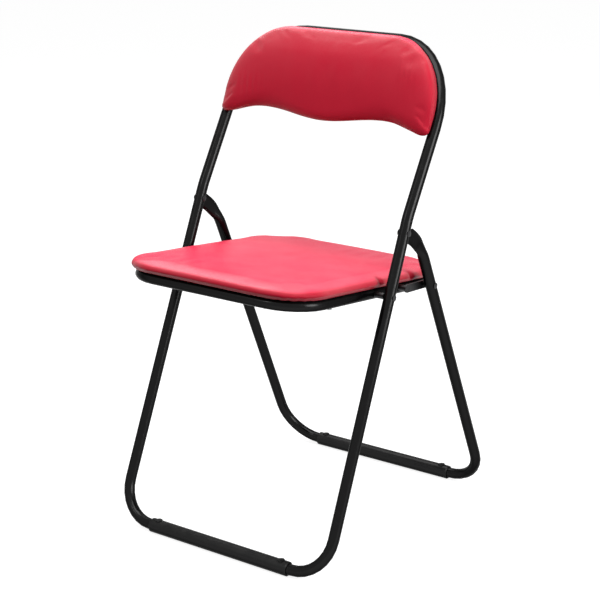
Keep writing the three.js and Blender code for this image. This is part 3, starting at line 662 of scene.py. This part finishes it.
def swell(piece, v, cap):
    before = np.array([p.co for p in piece.data.vertices])
    cloth = piece.modifiers.new("cover", "CLOTH")
    s = cloth.settings
    s.quality = v["quality"]
    s.mass = v["mass"]
    s.tension_stiffness = s.compression_stiffness = v["stretch"]
    s.shear_stiffness = v["shear"]
    s.bending_stiffness = v["bending"]
    s.use_pressure = True
    s.uniform_pressure_force = v["pressure"]
    s.vertex_group_mass = "pin"
    s.effector_weights.gravity = 0
    cloth.collision_settings.use_collision = False
    cloth.point_cache.frame_start = 1
    cloth.point_cache.frame_end = v["frames"]
    for number in range(1, v["frames"] + 1):
        scene.frame_set(number)
    seen = piece.evaluated_get(bpy.context.evaluated_depsgraph_get()).to_mesh()
    after = np.array([p.co for p in seen.vertices])
    piece.modifiers.remove(cloth)
    scene.frame_set(1)
    moved = after - before
    far = np.linalg.norm(moved, axis=1)
    tiny = 1e-9
    held = cap * np.tanh(far / cap) / np.maximum(far, tiny)
    piece.data.vertices.foreach_set("co", (before + moved * held[:, None]).ravel())
    piece.data.update()
    print("stage: cover of", piece.name, "moved up to", round(float(far.max()) / mm, 1), "mm")


def refine(piece):
    # one subdivision, kept in the mesh, so that small folds have points to stand on
    fine = piece.modifiers.new("fine", "SUBSURF")
    fine.levels = fine.render_levels = 1
    seen = piece.evaluated_get(bpy.context.evaluated_depsgraph_get())
    mesh = bpy.data.meshes.new_from_object(seen)
    piece.modifiers.clear()
    piece.vertex_groups.clear()
    piece.data = mesh


# tucks: short creases pulled in at the side. Flutes: faint ribs in the stretched cover.
# Puckers: where it is pulled round a corner it gathers in small radial folds under the roll.
folds = {
    "tuckFrom": 1 * mm,
    "tuckRise": 4 * mm,
    "fluteRise": 6 * mm,
    "fluteLean": 0.15,
    "puckerFromShare": 0.55,
    "puckerOut": 0.3 * mm,
    "secondWaveShare": 0.4,
    "secondWaveRate": 2.3,
    "secondWaveShift": 1,
}


def coordsAndNormals(mesh):
    co = np.array([p.co for p in mesh.vertices])
    return co, np.array([p.normal for p in mesh.vertices])


def foldSides(piece, v, f):
    mesh = piece.data
    co, normals = coordsAndNormals(mesh)
    push = np.zeros(len(co))
    for x, y, reach, width, depth in v["tucks"]:
        along = np.exp(-((co[:, 1] - y) / width) ** 2)
        inward = 1 - smoothStep((np.abs(x) - np.sign(x) * co[:, 0]) / reach)
        aboveLip = smoothStep((co[:, 2] - v["floor"] - f["tuckFrom"]) / f["tuckRise"])
        push += depth * along * inward * aboveLip
    for x, y, halfX, halfY, wave, depth in v["flutes"]:
        nearX = 1 - smoothStep(np.abs(co[:, 0] - x) / halfX)
        nearY = 1 - smoothStep(np.abs(co[:, 1] - y) / halfY)
        front = smoothStep((co[:, 2] - v["boardTop"]) / f["fluteRise"])
        lean = co[:, 0] + f["fluteLean"] * (co[:, 1] - y)
        push += depth * np.cos(2 * math.pi * lean / wave) * nearX * nearY * front
    mesh.vertices.foreach_set("co", (co - normals * push[:, None]).ravel())
    mesh.update()


def puckerCorners(piece, v, f):
    mesh = piece.data
    co, normals = coordsAndNormals(mesh)
    for cx, cy, radius, start, end in v["corners"]:
        dx, dy = co[:, 0] - cx, co[:, 1] - cy
        angle = np.arctan2(dy, dx)
        mid, span = (start + end) / 2, (end - start) / 2
        away = np.abs((angle - mid + math.pi) % (2 * math.pi) - math.pi) / span
        begin = f["puckerFromShare"]
        outward = smoothStep((np.hypot(dx, dy) - begin * radius) / ((1 - begin) * radius))
        low = 1 - smoothStep((co[:, 2] - v["floor"]) / v["puckerRise"])
        second = np.cos(f["secondWaveRate"] * v["puckers"] * angle + f["secondWaveShift"])
        wave = np.cos(v["puckers"] * angle) + f["secondWaveShare"] * second
        depth = v["puckerDepth"] * wave * outward * low * (1 - smoothStep(away))
        co -= normals * np.maximum(depth, -f["puckerOut"])[:, None]
    mesh.vertices.foreach_set("co", co.ravel())
    mesh.update()


def finishPad(piece, v, place, body, node):
    swell(piece, cover, v["cap"])
    refine(piece)
    puckerCorners(piece, v, folds)
    foldSides(piece, v, folds)
    mesh = piece.data
    co = np.array([p.co for p in mesh.vertices])
    co[:, 2] = np.maximum(co[:, 2], v["floor"])
    mesh.vertices.foreach_set("co", co.ravel())
    mesh.transform(place)
    mesh.materials.append(redVinyl)
    for face in mesh.polygons:
        face.use_smooth = True
    mesh.update()
    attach(piece, body)
    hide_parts(node)


# both pads lie on their boards: +Z out of the pad's face, the board between floor and boardTop.
# A profile is pairs of inset from the widest line and share of the pad's height.
seatPad = {
    "pivot": (0, -0.049319, 0.41557),
    "tilt": 6.6,
    "halfWidth": 184 * mm,
    "front": -203.44 * mm,
    "rear": 216.56 * mm,
    "frontCorner": 72 * mm,
    "rearCorner": 90 * mm,
    "arcPoints": 13,
    "floor": 9.3 * mm,
    "boardTop": 14.6 * mm,
    "crown": 28.6 * mm,
    "lip": 9.7 * mm,
    "cells": (60, 68),
    "domePower": 2.2,
    "profile": [
        (30 * mm, 0.935), (22 * mm, 0.905), (15 * mm, 0.865), (10.5 * mm, 0.82), (7 * mm, 0.765),
        (4.6 * mm, 0.70), (2.8 * mm, 0.63), (1.5 * mm, 0.54), (0.7 * mm, 0.45), (0.3 * mm, 0.36),
        (0.7 * mm, 0.27), (1.9 * mm, 0.18), (3.6 * mm, 0.1), (5.6 * mm, 0.04), (7.2 * mm, 0.0),
    ],
    "cap": 1.2 * mm,
    "fill": 0.75,
    # place across, place along, how far in it runs, half-width, depth
    "tucks": [
        (184 * mm, 8 * mm, 17 * mm, 4.0 * mm, 4.0 * mm),
        (184 * mm, 95 * mm, 20 * mm, 4.6 * mm, 4.6 * mm),
        (-184 * mm, 30 * mm, 15 * mm, 4.2 * mm, 2.0 * mm),
        (-184 * mm, 104 * mm, 18 * mm, 4.6 * mm, 2.4 * mm),
    ],
    # centre across and along, reach across and along, wavelength, depth
    "flutes": [
        (60 * mm, 150 * mm, 90 * mm, 60 * mm, 31 * mm, 0.25 * mm),
        (-90 * mm, -150 * mm, 80 * mm, 50 * mm, 27 * mm, 0.2 * mm),
    ],
    # centre, radius, first and last angle of each puckered corner
    "corners": [
        (-112 * mm, -131.4 * mm, 72 * mm, -math.pi, -math.pi / 2),
        (112 * mm, -131.4 * mm, 72 * mm, -math.pi / 2, 0),
        (94 * mm, 126.6 * mm, 90 * mm, 0, math.pi / 2),
        (-94 * mm, 126.6 * mm, 90 * mm, math.pi / 2, math.pi),
    ],
    "puckers": 26,
    "puckerDepth": 0.7 * mm,
    "puckerRise": 11 * mm,
}


def seatHeight(v, y):
    return np.full(np.shape(y), v["crown"])


seatPlace = Matrix.Translation(seatPad["pivot"]) @ Matrix.Rotation(-deg(seatPad["tilt"]), 4, "X")
seatCushion = padMesh("seatCushion", seatPad, seatOutline, seatHeight)
finishPad(seatCushion, seatPad, seatPlace, "seat", "seat_cushion")
print("stage: seat cushion")

backPad = {
    "bend": (0, 0.000884, 0.5301),
    "lean": 30.72,
    "halfWidth": 204.5 * mm,
    "lowCorner": 127 * mm,
    "lobeRise": 15.5 * mm,
    "lobeBend": 1.3,
    "lobeHalfSpan": 115 * mm,
    "humpDrop": 12 * mm,
    "lowRadius": 10 * mm,
    "leastRadius": 3 * mm,
    "cornerWidth": 107 * mm,
    "cornerRise": 128.3 * mm,
    # how much each shrinks with the inset
    "lowRadiusInset": 0.6,
    "cornerWidthInset": 0.8,
    "cornerRiseInset": 0.9,
    "outlinePoints": (60, 13, 41),
    # which point of the low corner and of the bow ends a side
    "splits": (6, 19),
    "top": 283.5 * mm,
    "floor": 9.3 * mm,
    "boardTop": 14.6 * mm,
    "lowThickness": 8 * mm,
    "thickness": 28.4 * mm,
    "ramp": 112 * mm,
    "rampPower": 1.5,
    "lip": 6.7 * mm,
    "cells": (84, 34),
    "domePower": 2.3,
    "profile": [
        (22 * mm, 0.885), (16 * mm, 0.87), (11 * mm, 0.845), (7.5 * mm, 0.81), (5 * mm, 0.76),
        (2.9 * mm, 0.69), (1.7 * mm, 0.63), (1.2 * mm, 0.575), (1.0 * mm, 0.535), (0.2 * mm, 0.505),
        (-0.2 * mm, 0.465), (0.1 * mm, 0.425), (0.9 * mm, 0.395), (1.0 * mm, 0.33), (1.1 * mm, 0.23),
        (1.7 * mm, 0.13), (2.7 * mm, 0.05), (4.0 * mm, 0.0),
    ],
    "cap": 1.4 * mm,
    "fill": 0.8,
    "tucks": [
        (204 * mm, 141 * mm, 12 * mm, 3.4 * mm, 0.7 * mm),
        (-204 * mm, 141 * mm, 12 * mm, 3.4 * mm, 0.7 * mm),
    ],
    "flutes": [
        (148 * mm, 215 * mm, 42 * mm, 48 * mm, 9.5 * mm, 0.1 * mm),
        (20 * mm, 205 * mm, 130 * mm, 70 * mm, 46 * mm, 0.3 * mm),
        (-150 * mm, 170 * mm, 40 * mm, 40 * mm, 12 * mm, 0.14 * mm),
    ],
    "corners": [
        (97.5 * mm, 154.6 * mm, 115 * mm, 0.1, 1.45),
        (-97.5 * mm, 154.6 * mm, 115 * mm, math.pi - 1.45, math.pi - 0.1),
    ],
    "puckers": 22,
    "puckerDepth": 0.22 * mm,
    "puckerRise": 9 * mm,
}


def backHeight(v, y):
    # thin at the lower edge, full from the ramp's length above it
    rise = np.clip((y - v["lowCorner"]) / v["ramp"], 0, 1)
    grown = (v["thickness"] - v["lowThickness"]) * (1 - (1 - rise) ** v["rampPower"])
    return v["boardTop"] + v["lowThickness"] + grown


backPlace = Matrix.Translation(backPad["bend"]) @ Matrix.Rotation(deg(90 - backPad["lean"]), 4, "X")
backCushion = padMesh("backCushion", backPad, backOutline, backHeight)
finishPad(backCushion, backPad, backPlace, "front_frame", "back_cushion")
print("stage: back cushion")


# hems: the cover is turned in over the board's edge and stapled down
hem = {
    "top": 9.28 * mm,
    "bottom": 9.06 * mm,
    "ease": 0.4 * mm,
    "easeIn": 0.6 * mm,
    "ripple": 0.37,
    "drift": 0.11,
    "driftShare": 1.3,
}
seatHem = {"outer": 9.9 * mm, "inner": 29 * mm, "wander": 0.9 * mm}
backHem = {"outer": 7.2 * mm, "inner": 21 * mm, "wander": 0.6 * mm}


def pieceOf(name, bm, place, material):
    bmesh.ops.recalc_face_normals(bm, faces=bm.faces)
    mesh = bpy.data.meshes.new(name)
    bm.to_mesh(mesh)
    bm.free()
    mesh.transform(place)
    mesh.materials.append(material)
    piece = bpy.data.objects.new(name, mesh)
    scene.collection.objects.link(piece)
    return piece


def makeHem(name, pad, outline, place, body, band, v):
    nx, ny = pad["cells"]
    section = [
        (band["outer"], v["top"]),
        (band["outer"] + v["ease"], v["bottom"]),
        (band["inner"], v["bottom"]),
        (band["inner"] + v["easeIn"], v["top"]),
    ]
    rings = []
    bm = bmesh.new()
    for inset, z in section:
        edge = ringOf(outline(pad, inset), nx, ny)
        number = np.arange(len(edge))
        wander = band["wander"] * np.sin(number * v["ripple"] + v["driftShare"] * np.sin(number * v["drift"]))
        if inset > band["outer"]:
            toward = edge.mean(axis=0) - edge
            toward /= np.linalg.norm(toward, axis=1)[:, None]
            edge = edge + toward * wander[:, None]
        rings.append([bm.verts.new((x, y, z)) for x, y in edge])
    for a, b in zip(rings, rings[1:] + rings[:1]):
        for k in range(len(a)):
            m = (k + 1) % len(a)
            bm.faces.new((a[k], b[k], b[m], a[m]))
    piece = pieceOf(name, bm, place, redVinyl)
    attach(piece, body)


# bent wire crowns, one after another along the hem
staple = {
    "samples": 400,
    "crown": 9.5 * mm,
    "drop": 0.7 * mm,
    "shoulder": 0.6,
    "wire": 0.35 * mm,
    "wireRise": 0.7,
    "taper": 0.7,
    "top": 9.05 * mm,
    "ahead": 1 * mm,
    # uneven hand of the upholsterer: size and rate of the slip along and of the skew
    "slip": (0.18, 2.4),
    "skew": (0.14, 1.7),
}
seatStaples = {"inset": 26.5 * mm, "pitch": 34 * mm}
backStaples = {"inset": 17 * mm, "pitch": 30 * mm}


def makeStaples(name, pad, outline, place, body, row, v):
    line = ringOf(outline(pad, row["inset"]), v["samples"], v["samples"])
    step = np.linalg.norm(np.roll(line, -1, axis=0) - line, axis=1)
    reach = np.concatenate([[0], np.cumsum(step)])
    closed = np.vstack([line, line[:1]])
    number = int(reach[-1] / row["pitch"])
    half, drop, wire, top = v["crown"] / 2, v["drop"], v["wire"], v["top"]
    shoulder = top - drop * v["shoulder"]
    rightSide = [(half - drop, top - drop), (half, shoulder), (half, top)]
    path = [(-x, z) for x, z in reversed(rightSide)] + rightSide

    def onLine(at):
        return np.array([np.interp(at, reach, closed[:, k]) for k in (0, 1)])

    bm = bmesh.new()
    for i in range(number):
        slip = v["slip"][0] * math.sin(i * v["slip"][1])
        at = (i + 0.5 + slip) / number * reach[-1]
        here = onLine(at)
        run = onLine(at + v["ahead"]) - here
        angle = math.atan2(run[1], run[0]) + v["skew"][0] * math.sin(i * v["skew"][1])
        turn = Matrix.Translation((here[0], here[1], 0)) @ Matrix.Rotation(angle, 4, "Z")
        loops = []
        for x, z in path:
            inner = x * (v["taper"] if abs(x) == half else 1)
            raised = z + wire * v["wireRise"]
            section = [(x, -wire, z), (x, wire, z), (inner, wire, raised), (inner, -wire, raised)]
            loops.append([bm.verts.new(turn @ Vector(p)) for p in section])
        for a, b in zip(loops, loops[1:]):
            for k in range(4):
                m = (k + 1) % 4
                bm.faces.new((a[k], a[m], b[m], b[k]))
        bm.faces.new(loops[0])
        bm.faces.new(loops[-1][::-1])
    piece = pieceOf(name, bm, place, zincSteel)
    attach(piece, body)


makeHem("seatHem", seatPad, seatOutline, seatPlace, "seat", seatHem, hem)
makeStaples("seatStaples", seatPad, seatOutline, seatPlace, "seat", seatStaples, staple)
makeHem("backHem", backPad, backOutline, backPlace, "front_frame", backHem, hem)
makeStaples("backStaples", backPad, backOutline, backPlace, "front_frame", backStaples, staple)
print("stage: hems and staples")


# floor, light and world
light = {
    "key": {"place": (0.1, -0.28, 2.6), "aim": (0, 0, 0.5), "size": 2.0, "power": 61},
    "fill": {"place": (-0.8, -1.9, 2.0), "aim": (-0.1, 0, 0.6), "size": 0.5, "power": 4.6},
    "side": {"place": (2.5, 0.1, 1.15), "aim": (0, 0, 0.5), "size": 1.5, "power": 52},
    "rim": {"place": (-1.5, 1.0, 2.3), "aim": (0, -0.1, 0.5), "size": 1.4, "power": 22},
}
room = {
    "white": (1, 1, 1, 1),
    "worldStrength": 0.26,
    "floorReach": 9,
    "floorColour": (0.38, 0.38, 0.38, 1),
    "floorGlow": 0.88,
    "floorBounce": (0.08, 0.08, 0.08, 1),
}


def makeLamp(name, v):
    data = bpy.data.lights.new(name, "AREA")
    data.shape = "DISK"
    data.size = v["size"]
    data.energy = v["power"]
    lamp = bpy.data.objects.new(name, data)
    lamp.location = v["place"]
    lamp.rotation_mode = "QUATERNION"
    lamp.rotation_quaternion = (Vector(v["aim"]) - Vector(v["place"])).to_track_quat("-Z", "Y")
    scene.collection.objects.link(lamp)


def seenWhite(t):
    # 1 where the camera, a mirror or glass looks
    path = t.add("ShaderNodeLightPath")
    seen = t.math("MAXIMUM", path.outputs["Is Camera Ray"], path.outputs["Is Glossy Ray"])
    return t.math("MAXIMUM", seen, path.outputs["Is Transmission Ray"])


def makeWorld(v):
    world = bpy.data.worlds.new("paleRoom")
    world.use_nodes = True
    t = Tree(world.node_tree)
    white = t.add("ShaderNodeBackground", {"Color": v["white"], "Strength": 1.0})
    soft = t.add("ShaderNodeBackground", {"Color": v["white"], "Strength": v["worldStrength"]})
    mix = t.add("ShaderNodeMixShader", {0: seenWhite(t), 1: soft.outputs[0], 2: white.outputs[0]})
    out = t.add("ShaderNodeOutputWorld")
    t.tree.links.new(mix.outputs[0], out.inputs["Surface"])
    scene.world = world


def makeFloor(v):
    reach = v["floorReach"]
    mesh = bpy.data.meshes.new("floor")
    corners = [(-reach, -reach, 0), (reach, -reach, 0), (reach, reach, 0), (-reach, reach, 0)]
    mesh.from_pydata(corners, [], [(0, 1, 2, 3)])
    floor = bpy.data.objects.new("floor", mesh)
    scene.collection.objects.link(floor)
    material = bpy.data.materials.new("paleFloor")
    material.use_nodes = True
    t = Tree(material.node_tree)
    diffuse = t.add("ShaderNodeBsdfDiffuse", {"Color": v["floorColour"]})
    glow = t.add("ShaderNodeEmission", {"Color": v["white"], "Strength": v["floorGlow"]})
    both = t.add("ShaderNodeAddShader", {0: diffuse.outputs[0], 1: glow.outputs[0]})
    plain = t.add("ShaderNodeBsdfDiffuse", {"Color": v["floorBounce"]})
    mix = t.add("ShaderNodeMixShader", {0: seenWhite(t), 1: plain.outputs[0], 2: both.outputs[0]})
    out = t.add("ShaderNodeOutputMaterial")
    t.tree.links.new(mix.outputs[0], out.inputs["Surface"])
    mesh.materials.append(material)


for name, v in light.items():
    makeLamp(name + "Lamp", v)
makeWorld(room)
makeFloor(room)
scene.view_settings.view_transform = "Standard"
print("stage: light and floor")

bpy.context.view_layer.update()
